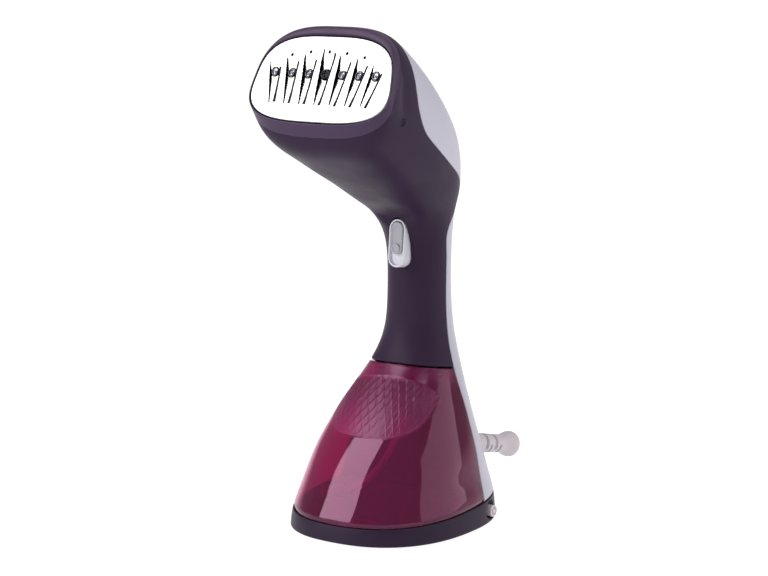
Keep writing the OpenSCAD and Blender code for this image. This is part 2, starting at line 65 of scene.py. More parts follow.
# Sections of the outer skin, from the foot to the steam plate:
# [y, z, tilt, half width, front depth, back depth, roundness exponent, taper]
STATIONS = np.array([
    [0, 0, 0, 54.2, 62, 62, 2.4, 0],
    [0, 14.2, 3.5, 53, 60, 60.5, 2.4, 0],
    [2, 28, 2, 49.5, 55, 55, 2.4, 0],
    [5.5, 48, 0, 44.5, 46.5, 46.5, 2.35, 0],
    [13, 70, -4, 36, 35, 36, 2.3, 0],
    [22.7, 91, -9, 26.2, 23.8, 25.6, 2.3, 0],
    [26, 112.5, 0, 19.6, 19.8, 20, 2.2, 0],
    [26.2, 138, 0, 17.6, 19, 18.8, 2.2, 0],
    [25.5, 163.5, 0, 19.1, 18.6, 18.6, 2.15, 0],
    [21.3, 180, 3, 23.6, 22.7, 20.1, 2.15, 0],
    [13.2, 196, 14, 32.6, 30.3, 23.8, 2.2, 0],
    [-2.8, 218.3, 32, 41.3, 36.2, 28.7, 2.35, 0.02],
    [-27.7, 238.7, 50, 45.2, 38.1, 33.3, 2.55, 0.05],
    [-55.1, 255, 61, 46, 37.5, 36.7, 2.8, 0.08],
    [-67.4, 262, 65.7, 46.9, 27.4, 31.1, 3, 0.09],
])
# Sections where the base band, the tank, the front shell and the head end
BAND_U, SEAM_U, BEZEL_U, PLATE_U = 1.0, 5.0, 13.6, 14.0

# Side view of the parting line between the front pieces and the rear shell, [y, z]
PARTING = np.array([
    [16.25, -10], [17, 0], [19.3, 30], [21.6, 60], [23.9, 91], [27.3, 120], [28.2, 150],
    [25.5, 167], [27, 176], [31.5, 184], [30, 194], [19.5, 201.5], [-3.8, 213.6],
    [-20.7, 223.4], [-34.5, 233], [-41, 244], [-43, 257], [-42.5, 280], [-41.5, 310],
])

WALL = 2.0           # thickness of the moulded shells and of the tank
GRIP_FRONT_Y = 14    # the front of the grip and of the tank lies at a smaller y

# The steam plate: its middle, its tilt from level, and its outline
PLATE_C = np.array([0, -67.4, 262.0])
PLATE_TILT = math.radians(65.7)
PLATE_HALF, PLATE_TAPER, OUTLINE_N = (45.8, 25.1), 0.09, 3.1
OUTLET_V, FLUTE_PITCH, FLUTE_FAN = 3.3, 11.3, math.radians(3.3)

# Middle of the trigger, and the face of the grip that it sits in
TRIGGER_Z, FACE_Y, FACE_LEAN = 164.0, 3.4, math.radians(5.3)
GUARD_ROOT = np.array([24, 49, 41.0])
BUTTON_Y, BUTTON_Z = 27.5, 8.0


def smooth(t, low=0.0, high=1.0):
    """0 below low and 1 above high, with a smooth step between them."""
    t = np.clip((t - low) / (high - low), 0, 1)
    return t * t * (3 - 2 * t)


def along(table, u):
    """Catmull-Rom value of a table's rows at the fractional row number u."""
    u = np.asarray(u, float)
    k = np.clip(np.floor(u).astype(int), 0, len(table) - 2)
    t = (u - k)[..., None]
    rows = np.vstack([2 * table[0] - table[1], table, 2 * table[-1] - table[-2]])
    a, b, c, d = rows[k], rows[k + 1], rows[k + 2], rows[k + 3]
    return 0.5 * (2 * b + (c - a) * t + (2 * a - 5 * b + 4 * c - d) * t * t
                  + (3 * b - a - 3 * c + d) * t ** 3)


def section(u, reach=0.36, width=0.17):
    """The section at u, averaged over a short stretch so that highlights run smoothly."""
    offsets = np.linspace(-reach, reach, 9)
    weights = np.exp(-(offsets / width) ** 2 / 2)
    return sum(w * along(STATIONS, u + o) for w, o in zip(weights / weights.sum(), offsets))


def skin(u, a, inset=0.0):
    """Point of the outer skin at section u and polar angle a, which is 0 at the back."""
    s = section(u)
    c, si = np.cos(a), np.sin(a)
    depth = np.where(c > 0, s[..., 5], s[..., 4]) - inset
    width = s[..., 3] - inset
    n = s[..., 6]
    r = (np.abs(c / depth) ** n + np.abs(si / width) ** n) ** (-1 / n)
    v = r * c
    x = r * si * (1 - s[..., 7] * v / depth)
    tilt = np.radians(s[..., 2])
    return np.stack([x, s[..., 0] + v * np.cos(tilt), s[..., 1] + v * np.sin(tilt)], -1)


PARTING_FINE = along(PARTING, np.linspace(0, len(PARTING) - 1, 721))
PARTING_SLOPE = np.gradient(PARTING_FINE[:, 0], PARTING_FINE[:, 1])


def behind(p):
    """Signed side-view distance behind the parting line."""
    y = np.interp(p[..., 2], PARTING_FINE[:, 1], PARTING_FINE[:, 0])
    k = np.interp(p[..., 2], PARTING_FINE[:, 1], PARTING_SLOPE)
    return (p[..., 1] - y) / np.sqrt(1 + k * k)


# ------------------------------------------------------------------ surfaces cut by limits
def tangents(surface, uv, step=1e-3):
    """The surface's directions along its two parameters."""
    du, dv = np.array([step, 0]), np.array([0, step])
    return ((surface(uv + du) - surface(uv - du)) / (2 * step),
            (surface(uv + dv) - surface(uv - dv)) / (2 * step))


def unit(v):
    return v / np.maximum(np.linalg.norm(v, axis=-1, keepdims=True), 1e-12)


def grid(rows, cols):
    """Parameter points and triangles of a grid."""
    uu, vv = np.meshgrid(rows, cols, indexing="ij")
    uv = np.stack([uu.ravel(), vv.ravel()], -1)
    n, m = len(rows), len(cols)
    i = (np.arange(n - 1)[:, None] * m + np.arange(m - 1)).ravel()
    return uv, np.vstack([np.stack([i, i + m + 1, i + 1], -1),
                          np.stack([i, i + m, i + m + 1], -1)])


def split(uv, tri, value, drop):
    """Adds the line where value(uv) is 0 to the triangles; drop removes the side below 0."""
    f = value(uv)
    f = np.where(np.abs(f) < 1e-7, 1e-7, f)
    edges = np.sort(np.vstack([tri[:, [0, 1]], tri[:, [1, 2]], tri[:, [2, 0]]]), 1)
    edges, where = np.unique(edges, axis=0, return_inverse=True)
    where = where.reshape(3, -1)
    over = (f[edges[:, 0]] > 0) != (f[edges[:, 1]] > 0)
    a, b = uv[edges[over, 0]], uv[edges[over, 1]]
    fa, fb = f[edges[over, 0]], f[edges[over, 1]]
    t = fa / (fa - fb)
    for _ in range(2):
        fm = value(a + (b - a) * t[:, None])
        low = (fm > 0) == (fa > 0)
        step = np.where(low, (1 - t) * fm / (fm - fb), -t * fm / (fm - fa))
        t = np.clip(t + step, 1e-4, 1 - 1e-4)
    number = np.full(len(edges), -1)
    number[over] = len(uv) + np.arange(over.sum())
    uv = np.vstack([uv, a + (b - a) * t[:, None]])
    up = f[tri] > 0
    count = up.sum(1)
    whole = (count == 0) | (count == 3)
    out, side = [tri[whole]], [count[whole] == 3]
    for k in range(3):
        odd = np.where(count == 1, up[:, k], (count == 2) & ~up[:, k])
        t3 = tri[odd]
        p, q = number[where[k][odd]], number[where[(k + 2) % 3][odd]]
        v0, v1, v2 = t3[:, k], t3[:, (k + 1) % 3], t3[:, (k + 2) % 3]
        s = up[odd, k]
        out += [np.stack([v0, p, q], -1), np.stack([p, v1, v2], -1), np.stack([p, v2, q], -1)]
        side += [s, ~s, ~s]
    tri, side = np.vstack(out), np.concatenate(side)
    if drop:
        tri = tri[side]
        used, tri = np.unique(tri, return_inverse=True)
        uv, tri = uv[used], tri.reshape(-1, 3)
    return uv, tri


def weld(points, tri):
    """Joins points that meet at a seam. Returns which points are kept, and the triangles."""
    _, first, same = np.unique(np.round(points, 4), axis=0, return_index=True,
                               return_inverse=True)
    tri = same.reshape(-1)[tri]
    tri = tri[(tri[:, 0] != tri[:, 1]) & (tri[:, 1] != tri[:, 2]) & (tri[:, 2] != tri[:, 0])]
    return first, tri


def make(name, points, tri, normals=None, marks=None):
    """A mesh object from millimetre points. marks are named values kept on its points."""
    me = bpy.data.meshes.new(name)
    me.vertices.add(len(points))
    me.vertices.foreach_set("co", (np.asarray(points) * MM).astype(np.float32).ravel())
    me.loops.add(tri.size)
    me.loops.foreach_set("vertex_index", tri.astype(np.int32).ravel())
    me.polygons.add(len(tri))
    me.polygons.foreach_set("loop_start", np.arange(0, tri.size, tri.shape[1], dtype=np.int32))
    me.update(calc_edges=True)
    me.validate()
    me.polygons.foreach_set("use_smooth", np.ones(len(me.polygons), bool))
    for key, values in (marks or {}).items():
        layer = me.attributes.new(key, "FLOAT", "POINT")
        layer.data.foreach_set("value", values.astype(np.float32))
    if normals is not None and len(me.vertices) == len(normals):
        me.normals_split_custom_set_from_vertices([tuple(n) for n in normals])
    o = bpy.data.objects.new(name, me)
    bpy.context.scene.collection.objects.link(o)
    return o


ROUNDING = (0.07, 0.25, 0.55, 1.0)    # shares of a radius where an edge gets a line of points


def shell(name, surface, rows, cols, limits, thick=WALL, marks=None, step=1e-3):
    """A closed wall whose outer face is surface(uv), trimmed where any limit is below 0 and
    rounded over there. limits are (distance function of uv, rounding radius)."""
    uv, tri = grid(rows, cols)
    for value, radius in limits:
        uv, tri = split(uv, tri, value, True)
        for share in ROUNDING:
            uv, tri = split(uv, tri, lambda w: value(w) - share * radius, False)
    p = surface(uv)
    first, tri = weld(p, tri)
    uv, p = uv[first], p[first]
    pu, pv = tangents(surface, uv)
    n = unit(np.cross(pu, pv))
    e, f, g = (pu * pu).sum(1), (pu * pv).sum(1), (pv * pv).sum(1)
    det = np.maximum(e * g - f * f, 1e-12)
    drop, lean = np.zeros(len(uv)), np.array(n)
    for value, radius in limits:
        d = value(uv)
        left = np.clip((radius - d) / radius, 0, 1)
        drop += radius * (1 - np.sqrt(1 - left ** 2))
        du = (value(uv + [step, 0]) - value(uv - [step, 0])) / (2 * step)
        dv = (value(uv + [0, step]) - value(uv - [0, step])) / (2 * step)
        grad = ((g * du - f * dv)[:, None] * pu + (e * dv - f * du)[:, None] * pv) / det[:, None]
        lean = lean * np.sqrt(1 - left ** 2)[:, None] - unit(grad) * left[:, None]
    outer = p - n * drop[:, None]
    inner = p - n * thick
    edges = np.vstack([tri[:, [0, 1]], tri[:, [1, 2]], tri[:, [2, 0]]])
    _, at, count = np.unique(np.sort(edges, 1), axis=0, return_index=True, return_counts=True)
    rim = edges[at[count == 1]]
    m = len(uv)
    wall = np.vstack([np.stack([rim[:, 1], rim[:, 0], rim[:, 0] + m], -1),
                      np.stack([rim[:, 1], rim[:, 0] + m, rim[:, 1] + m], -1)])
    made = {k: np.concatenate([v(uv, p), v(uv, p)]) for k, v in (marks or {}).items()}
    return make(name, np.vstack([outer, inner]), np.vstack([tri, tri[:, ::-1] + m, wall]),
                np.vstack([unit(lean), -n]), made)


def skin_surface(relief=None):
    """The outer skin as a surface of (section, angle), moved along its normal by relief."""
    def bare(uv):
        return skin(uv[..., 0], uv[..., 1])
    if relief is None:
        return bare

    def shaped(uv):
        pu, pv = tangents(bare, uv)
        p = bare(uv)
        return p + unit(np.cross(pu, pv)) * relief(uv, p)[..., None]
    return shaped


def above(u0):
    """Distance along the skin above section u0."""
    return lambda uv: (uv[..., 0] - u0) * rise(u0)


def below(u0):
    """Distance along the skin below section u0."""
    return lambda uv: (u0 - uv[..., 0]) * rise(u0)


def rise(u):
    """Length of the body's centre line for each section, at u."""
    a, b = section(np.array(u - 0.05)), section(np.array(u + 0.05))
    return float(np.hypot(a[0] - b[0], a[1] - b[1]) / 0.1)


def rows_of(*stretches):
    """Row values from (start, end, count) stretches."""
    parts = [np.linspace(a, b, n, endpoint=False) for a, b, n in stretches]
    return np.concatenate(parts + [[stretches[-1][1]]])


def degrees(*stretches):
    """Angles in radians from (start, end, step) stretches in degrees."""
    return np.radians(np.concatenate([np.arange(*one) for one in stretches]))


# ------------------------------------------------------------------ rings and lathes
def fillet(rows, steps=5):
    """Rounds the corners of a line. The last number of each row is its corner radius."""
    rows = np.array(rows, float)
    p, r = rows[:, :-1], rows[:, -1]
    out = []
    for i, here in enumerate(p):
        if r[i] == 0 or i in (0, len(p) - 1):
            out.append(here)
            continue
        a, b = here + unit(p[i - 1] - here) * r[i], here + unit(p[i + 1] - here) * r[i]
        for t in np.linspace(0, 1, steps):
            out.append(a * (1 - t) ** 2 + 2 * here * t * (1 - t) + b * t * t)
    return np.array(out)


def loft(name, rings, wrap=False, angle=35):
    """A closed solid through rings of points. wrap joins the last ring to the first one,
    and otherwise both ends are filled."""
    rings = np.array(rings)
    k, n, _ = rings.shape
    points = rings.reshape(-1, 3)
    i, j = np.meshgrid(np.arange(k if wrap else k - 1), np.arange(n), indexing="ij")
    low, high, side = (i * n).ravel(), ((i + 1) % k * n).ravel(), j.ravel()
    turn = (side + 1) % n
    tri = np.vstack([np.stack([low + side, low + turn, high + turn], -1),
                     np.stack([low + side, high + turn, high + side], -1)])
    if not wrap:
        m = len(points)
        points = np.vstack([points, rings[0].mean(0), rings[-1].mean(0)])
        step = np.arange(n)
        tri = np.vstack([tri, np.stack([(step + 1) % n, step, np.full(n, m)], -1),
                         np.stack([(k - 1) * n + step, (k - 1) * n + (step + 1) % n,
                                   np.full(n, m + 1)], -1)])
    a, b, c = (points[tri[:, q]] for q in range(3))
    if (a * np.cross(b, c)).sum() < 0:
        tri = tri[:, ::-1]
    o = make(name, points, tri)
    o.data.set_sharp_from_angle(angle=math.radians(angle))
    return o


def axes_of(axis, first):
    """Right-handed frame about an axis, with its first direction near the one given."""
    axis = unit(np.array(axis, float))
    first = unit(np.array(first, float) - axis * np.dot(first, axis))
    return first, np.cross(axis, first), axis


def turned(origin, frame, radius, height, angles):
    """One ring of a turned part."""
    ex, ey, ez = frame
    radius = np.broadcast_to(radius, angles.shape)[:, None]
    around = np.cos(angles)[:, None] * ex + np.sin(angles)[:, None] * ey
    return origin + radius * around + height * ez


ROUND = degrees((0, 360, 5.0))


def lathe(name, origin, frame, profile, wrap=False):
    """A turned part from its profile of (radius, height)."""
    return loft(name, [turned(origin, frame, r, h, ROUND) for r, h in profile], wrap)


def pill_ring(half_w, half_l, height, origin, frame, count=17):
    """One ring of a pill-shaped part: x across, y along, z out of the face."""
    a = np.radians(np.concatenate([np.linspace(0, 180, count), np.linspace(180, 360, count)]))
    ends = np.repeat([1, -1], count) * max(half_l - half_w, 0)
    ex, ey, ez = frame
    x, y = half_w * np.cos(a), half_w * np.sin(a) + ends
    return origin + x[:, None] * ex + y[:, None] * ey + height * ez


# ------------------------------------------------------------------ materials
def nodes_of(name):
    """A new material, its node tree and its shader."""
    mat = bpy.data.materials.new(name)
    mat.use_nodes = True
    tree = mat.node_tree
    tree.nodes.clear()
    out = tree.nodes.new("ShaderNodeOutputMaterial")
    shader = tree.nodes.new("ShaderNodeBsdfPrincipled")
    tree.links.new(shader.outputs[0], out.inputs[0])
    return mat, tree, shader


def noise(tree, scale, detail=3.0, rough=0.5, stretch=None):
    """Noise in the piece's own space, stretched along its axes."""
    co = tree.nodes.new("ShaderNodeTexCoord")
    n = tree.nodes.new("ShaderNodeTexNoise")
    n.inputs["Scale"].default_value = scale
    n.inputs["Detail"].default_value = detail
    n.inputs["Roughness"].default_value = rough
    if stretch is None:
        tree.links.new(co.outputs["Object"], n.inputs["Vector"])
    else:
        m = tree.nodes.new("ShaderNodeMapping")
        m.inputs["Scale"].default_value = stretch
        tree.links.new(co.outputs["Object"], m.inputs["Vector"])
        tree.links.new(m.outputs[0], n.inputs["Vector"])
    return n.outputs["Fac"]


def ramp(tree, value, low, high, start=0.3, end=0.7):
    """A colour from low to high as value goes from start to end."""
    r = tree.nodes.new("ShaderNodeValToRGB")
    first, last = r.color_ramp.elements
    first.position, last.position = start, end
    first.color, last.color = (*low, 1), (*high, 1)
    tree.links.new(value, r.inputs[0])
    return r.outputs[0]


def spread(tree, value, low, high, start=0.3, end=0.7):
    """A number from low to high as value goes from start to end."""
    m = tree.nodes.new("ShaderNodeMapRange")
    for key, v in (("From Min", start), ("From Max", end), ("To Min", low), ("To Max", high)):
        m.inputs[key].default_value = v
    tree.links.new(value, m.inputs["Value"])
    return m.outputs[0]


def mix(tree, fac, a, b):
    """Blend of two colours, each a socket or a plain colour."""
    m = tree.nodes.new("ShaderNodeMix")
    m.data_type = "RGBA"
    for socket, v in ((m.inputs[0], fac), (m.inputs[6], a), (m.inputs[7], b)):
        if isinstance(v, bpy.types.NodeSocket):
            tree.links.new(v, socket)
        else:
            socket.default_value = v if isinstance(v, float) else (*v, 1)
    return m.outputs[2]


def bump(tree, shader, value, depth, strength=1.0):
    """Relief in the shader's normal, depth in metres."""
    b = tree.nodes.new("ShaderNodeBump")
    b.inputs["Distance"].default_value = depth
    b.inputs["Strength"].default_value = strength
    tree.links.new(value, b.inputs["Height"])
    tree.links.new(b.outputs[0], shader.inputs["Normal"])


def mark(tree, name):
    """A value that make() kept on the points of a mesh."""
    a = tree.nodes.new("ShaderNodeAttribute")
    a.attribute_name = name
    return a.outputs["Fac"]


def shade(colour, k):
    """A colour made k times as light."""
    return tuple(min(1.0, c * k) for c in colour)


MOULD_GRAIN, MOULD_DEPTH = 2600, 0.00002


def moulded(name, colour, rough=0.4, vary=0.07, coat=0.0, specular=0.5):
    """Moulded plastic: fine texture, faint colour drift, and handling marks in its gloss."""
    mat, tree, s = nodes_of(name)
    drift = noise(tree, 9, 4)
    fine = noise(tree, MOULD_GRAIN, 2)
    worn = noise(tree, 55, 6, 0.62)
    base = ramp(tree, drift, shade(colour, 1 - vary), shade(colour, 1 + vary))
    light = shade(colour, 1 + 2 * vary)
    tree.links.new(mix(tree, spread(tree, fine, 0.0, 0.5), base, light), s.inputs["Base Color"])
    tree.links.new(spread(tree, worn, rough - 0.05, rough + 0.07), s.inputs["Roughness"])
    bump(tree, s, fine, MOULD_DEPTH)
    s.inputs["Specular IOR Level"].default_value = specular
    s.inputs["Coat Weight"].default_value = coat
    s.inputs["Coat Roughness"].default_value = 0.12
    return mat


def metal(name, colour, rough, stretch=(1, 1, 1), scale=900, depth=0.00001, stain=0.12):
    """Metal with a directional polish, faint stains and roughness that follows them."""
    mat, tree, s = nodes_of(name)
    polish = noise(tree, scale, 3, 0.6, stretch)
    blot = noise(tree, 38, 5, 0.6)
    tree.links.new(ramp(tree, blot, shade(colour, 1 - stain), shade(colour, 1 + stain / 3)),
                   s.inputs["Base Color"])
    tree.links.new(spread(tree, polish, rough * 0.7, rough * 1.35), s.inputs["Roughness"])
    bump(tree, s, polish, depth, 0.6)
    s.inputs["Metallic"].default_value = 1.0
    return mat


def rubber(name, colour, rough=0.62):
    """Rubber and silicone: matt, with a fine skin and a little dust."""
    mat, tree, s = nodes_of(name)
    fine = noise(tree, 1800, 3)
    dust = noise(tree, 70, 6, 0.6)
    tree.links.new(ramp(tree, dust, colour, shade(colour, 1.5), 0.4, 0.8), s.inputs["Base Color"])
    tree.links.new(spread(tree, dust, rough - 0.08, rough + 0.1), s.inputs["Roughness"])
    bump(tree, s, fine, 0.00004)
    return mat


SHELL, WHITE = (0.0275, 0.0150, 0.0355), (0.44, 0.42, 0.503)
TANK_CLEAR = (0.44, 0.026, 0.18), (0.50, 0.038, 0.22)
# The leaf panel's colours: a paler tint, part satin and part painted light, and painted shade for
# the right edge of each leaf
LEAF_LIGHT, LEAF_SHADE = (0.70, 0.056, 0.33), (0.42, 0.022, 0.18)


def tank_material():
    """Clear magenta moulding: tinted, glossy, with flow lines from the mould. The leaf panel is
    rougher, and paler partly as painted light shining through it, with painted shade on the right
    edge of each leaf."""
    mat, tree, s = nodes_of("tank_tint")
    flow = noise(tree, 14, 3, 0.5, (1, 1, 0.35))
    fine = noise(tree, 45, 3)
    # the panel mark: satin, and a paler colour that is partly painted light
    bib = mark(tree, "bib")
    clear = ramp(tree, flow, *TANK_CLEAR)
    leaf = mix(tree, mark(tree, "leaf"), LEAF_LIGHT, LEAF_SHADE)
    tree.links.new(mix(tree, bib, clear, leaf), s.inputs["Base Color"])
    gloss = tree.nodes.new("ShaderNodeMath")
    gloss.operation = "MULTIPLY_ADD"
    tree.links.new(bib, gloss.inputs[0])
    gloss.inputs[1].default_value = 0.3
    tree.links.new(spread(tree, fine, 0.015, 0.035), gloss.inputs[2])
    tree.links.new(gloss.outputs[0], s.inputs["Roughness"])
    bump(tree, s, flow, 0.0002, 0.12)
    s.inputs["Transmission Weight"].default_value = 0.9
    s.inputs["IOR"].default_value = 1.45
    s.inputs["Specular Tint"].default_value = (1.0, 0.72, 0.94, 1)
    return mat


def plate_material():
    """Polished steel with a fine cross grain. The walls of the pressed flutes, the gaps round the
    outlets and the pin holes are painted near-black: painted shade and painted dark reflection.
    """
    mat, tree, s = nodes_of("plate_steel")
    polish = noise(tree, 700, 3, 0.6, (6, 1, 1))
    blot = noise(tree, 38, 5, 0.6)
    clean = ramp(tree, blot, (0.40, 0.40, 0.405), (0.45, 0.45, 0.455))
    # painted shade: the steel turns near-black on the flute walls, in the outlet gaps and in the
    # pin holes
    dark = spread(tree, mark(tree, "painted_shade"), 0.0, 1.0, 0.12, 0.42)
    tree.links.new(mix(tree, dark, clean, (0.006, 0.006, 0.007)), s.inputs["Base Color"])
    tree.links.new(spread(tree, polish, 0.2, 0.3), s.inputs["Roughness"])
    bump(tree, s, polish, 0.00001, 0.5)
    s.inputs["Metallic"].default_value = 1.0
    return mat


MATERIALS = {
    "shell_dark": moulded("shell_dark", SHELL, 0.42, specular=0.09),
    "shell_white": moulded("shell_white", WHITE, 0.38, vary=0.02),
    # The bezel is the shell's colour made 1.75 times as light: painted light for the light its
    # top rim catches
    "bezel_dark": moulded("bezel_dark", shade(SHELL, 1.75), 0.36, specular=0.2),
    "inner_dark": moulded("inner_dark", shade(SHELL, 0.6), 0.55),
    "seal_rubber": rubber("seal_rubber", (0.012, 0.012, 0.013)),
    "plate_steel": plate_material(),
    "nozzle_steel": metal("nozzle_steel", (0.20, 0.20, 0.235), 0.38),
    "screw_steel": metal("screw_steel", (0.13, 0.13, 0.14), 0.35),
    "screw_black": metal("screw_black", (0.022, 0.022, 0.024), 0.4),
    "spring_steel": metal("spring_steel", (0.5, 0.5, 0.5), 0.25),
    "cast_alloy": metal("cast_alloy", (0.62, 0.62, 0.64), 0.5, scale=400, depth=0.00008),
    "element_sheath": metal("element_sheath", (0.3, 0.27, 0.25), 0.45),
    "gasket_silicone": rubber("gasket_silicone", (0.4, 0.07, 0.04)),
    "shield_board": rubber("shield_board", (0.05, 0.046, 0.045), 0.8),
    "ceramic_case": moulded("ceramic_case", (0.6, 0.57, 0.47), 0.5),
    "inlet_brass": metal("inlet_brass", (0.72, 0.5, 0.2), 0.25),
    "pump_plastic": moulded("pump_plastic", (0.66, 0.66, 0.62), 0.45),
    "coil_copper": metal("coil_copper", (0.6, 0.25, 0.1), 0.4, (1, 1, 9), 500, 0.0001),
    "hose_silicone": rubber("hose_silicone", (0.55, 0.55, 0.54), 0.4),
    "board_green": moulded("board_green", (0.015, 0.12, 0.045), 0.4),
    "switch_black": moulded("switch_black", (0.015, 0.015, 0.017), 0.4),
    "trigger_grey": moulded("trigger_grey", (0.60, 0.585, 0.66), 0.34, vary=0.03),
    "slider_grey": moulded("slider_grey", (0.335, 0.335, 0.375), 0.3, vary=0.03),
    "guard_pale": moulded("guard_pale", (0.515, 0.46, 0.505), 0.5, vary=0.04),
    "wire_jacket": rubber("wire_jacket", (0.35, 0.02, 0.02), 0.4),
    "tank_tint": tank_material(),
    "filter_grey": rubber("filter_grey", (0.4, 0.4, 0.38), 0.8),
    "base_dark": moulded("base_dark", shade(SHELL, 0.8), 0.40, specular=0.12),
    "button_pale": moulded("button_pale", (0.56, 0.49, 0.53), 0.22, vary=0.03, coat=0.5),
}
for part in frame["record"]["subparts"]:
    node = frame["nodes"][part["node"]]
    node.data.materials.clear()
    node.data.materials.append(MATERIALS[part["material_slot"]])
    for poly in node.data.polygons:
        poly.material_index = 0


def dress(o, slot, body, *nodes, finish=None):
    """Gives a piece its material, its CAD body and the nodes it stands for."""
    o.data.materials.append(MATERIALS[finish or slot])
    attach(o, body)
    if nodes:
        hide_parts(*nodes)


# ------------------------------------------------------------------ body shells
GAP = 0.14           # between the parting line and each shell
FAR = 30.0           # stands for "nowhere near" in a limit
WINDOW_HALF, WINDOW_REACH, WINDOW_DROP = 6.2, 8.6, 0.3


def on_skin(limit):
    """A limit that is a function of a point of the plain skin."""
    return lambda w: limit(skin(w[..., 0], w[..., 1]))


def fold(a):
    """Angle from the back, the same on both sides."""
    return np.abs(np.mod(a + math.pi, 2 * math.pi) - math.pi)


def from_trigger(p):
    """Distance outside the pill-shaped outline of the trigger's window, seen from the front."""
    x, z = p[..., 0], p[..., 2] - TRIGGER_Z
    return np.hypot(x, np.maximum(np.abs(z) - WINDOW_REACH, 0)) - WINDOW_HALF


def trigger_window(p):
    """Distance outside the trigger's window, on the front only."""
    lowered = p + [0, 0, WINDOW_DROP]
    return np.where(p[..., 1] < GRIP_FRONT_Y, from_trigger(lowered), FAR)


# Course of the channel down each side of the head: angle from the back, section
CHANNEL_A = np.radians([0, 40, 68, 78, 90.5, 107.5, 180])
CHANNEL_U = np.array([13.9, 13.85, 13.70, 13.22, 13.05, 12.81, 12.5])
CHANNEL_END = (12.81, math.radians(107.5))
CHANNEL_DEPTH, CHANNEL_WIDTH = 1.1, 0.2
DIMPLE = (1.7, 2.5)


def front_relief(uv, p):
    """Soft channel down each side of the head, with a round dimple at its foot."""
    u, a = uv[..., 0], fold(uv[..., 1])
    line = np.exp(-((u - np.interp(a, CHANNEL_A, CHANNEL_U)) / CHANNEL_WIDTH) ** 2)
    channel = -CHANNEL_DEPTH * line * smooth(a, 1.05, 1.3) * (1 - smooth(a, 1.6, 1.95))
    end = skin(np.array(CHANNEL_END[0]), np.array(CHANNEL_END[1]))
    away = np.sqrt((np.abs(p[..., 0]) - end[0]) ** 2 + (p[..., 1] - end[1]) ** 2
                   + (p[..., 2] - end[2]) ** 2)
    return channel - CHANNEL_DEPTH * (1 - smooth(away, *DIMPLE))


# Greatest depth of the scoop, and how it fades with the distance from the window
SCOOP_DEPTH, SCOOP_REACH, SCOOP_FALL = 5.8, (-2.0, 20.0), 1.5


def soft_half(a):
    """The part of a above 0, with the corner at 0 rounded over."""
    return (a + np.sqrt(a ** 2 + 1.0)) / 2


def scooped(surface):
    """Draws the shell back above the trigger, to make room for the finger."""
    def shaped(uv):
        p = surface(uv)
        face = FACE_Y - 0.5 + (p[..., 2] - TRIGGER_Z) * math.tan(FACE_LEAN)
        gap = np.where(p[..., 1] < GRIP_FRONT_Y, face - p[..., 1], -20.0)
        back = soft_half(gap)
        back = back - soft_half(back - SCOOP_DEPTH)
        back = back * (1 - smooth(from_trigger(p), *SCOOP_REACH)) ** SCOOP_FALL
        return p + back[..., None] * np.array([0, 1.0, 0])
    return shaped


dress(shell(
    "shell_front", scooped(skin_surface(front_relief)),
    rows_of((4.9, 5.2, 4), (5.2, 8.0, 30), (8.0, 9.4, 34), (9.4, 12.4, 40), (12.4, 13.9, 50)),
    degrees((0, 60, 2.5), (60, 300, 1.5), (300, 360.1, 2.5)),
    [(on_skin(lambda p: -behind(p) - GAP), 0.5), (above(SEAM_U + 0.02), 0.7),
     (below(BEZEL_U), 0.3), (on_skin(trigger_window), 0.6)]),
    "shell_dark", "steamer_body", "front_shell")

# Countersunk screws up the back of the body: [y of head, z, tilt], and the cord guard, which
# leaves downwards and a little outwards
SCREW_SITES = [(56.5, 30, 14), (47.2, 100, 5), (44.6, 150, 2), (35.2, 205, 25)]
SCREW_RECESS, GUARD_HOLE = 3.3, 6.1
GUARD_DROP, GUARD_TURN = math.radians(11.5), math.radians(3)
GUARD_AXIS = np.array([math.cos(GUARD_DROP) * math.sin(GUARD_TURN),
                       math.cos(GUARD_DROP) * math.cos(GUARD_TURN), -math.sin(GUARD_DROP)])
GUARD_FRAME = axes_of(GUARD_AXIS, (0, 0, 1))


def off_axis(p, at, axis):
    """Distance from the line through at along axis."""
    q = p - at
    return np.linalg.norm(q - (q @ axis)[..., None] * axis, axis=-1)


def screw_holes(p):
    """Distance outside the nearest screw recess."""
    d = np.full(p.shape[:-1], FAR)
    for y, z, tilt in SCREW_SITES:
        axis = np.array([0, math.cos(math.radians(tilt)), math.sin(math.radians(tilt))])
        d = np.minimum(d, off_axis(p, np.array([0, y, z]), axis) - SCREW_RECESS)
    return d


dress(shell(
    "shell_rear", skin_surface(),
    rows_of((0.9, 2.2, 30), (2.2, 3.3, 44), (3.3, 5.0, 30), (5.0, 13.0, 130), (13.0, 14.0, 14)),
    degrees((-180, -30, 3.0), (-30, 100, 1.25), (100, 180.1, 4.0)),
    [(on_skin(lambda p: behind(p) - GAP), 0.6), (above(BAND_U + 0.04), 0.7),
     (on_skin(screw_holes), 0.5),
     (on_skin(lambda p: off_axis(p, GUARD_ROOT, GUARD_AXIS) - GUARD_HOLE), 0.4)]),
    "shell_white", "steamer_body", "rear_shell")

# ------------------------------------------------------------------ head
PLATE_X = np.array([1.0, 0, 0])
PLATE_V = np.array([0, math.cos(PLATE_TILT), math.sin(PLATE_TILT)])
PLATE_N = np.cross(PLATE_X, PLATE_V)
PLATE_FRAME = (PLATE_X, PLATE_V, PLATE_N)
PROUD = 1.0


def plate_radius(a):
    """Radius of the plate's outline at the angle a from its upright middle line."""
    upright, across = np.abs(np.cos(a) / PLATE_HALF[1]), np.abs(np.sin(a) / PLATE_HALF[0])
    return (upright ** OUTLINE_N + across ** OUTLINE_N) ** (-1 / OUTLINE_N)


def plate_point(x, v, h):
    """Point x across, v up and h out of the plate."""
    x, v, h = (np.asarray(one, float)[..., None] for one in (x, v, h))
    return PLATE_C + x * PLATE_X + v * PLATE_V + h * PLATE_N


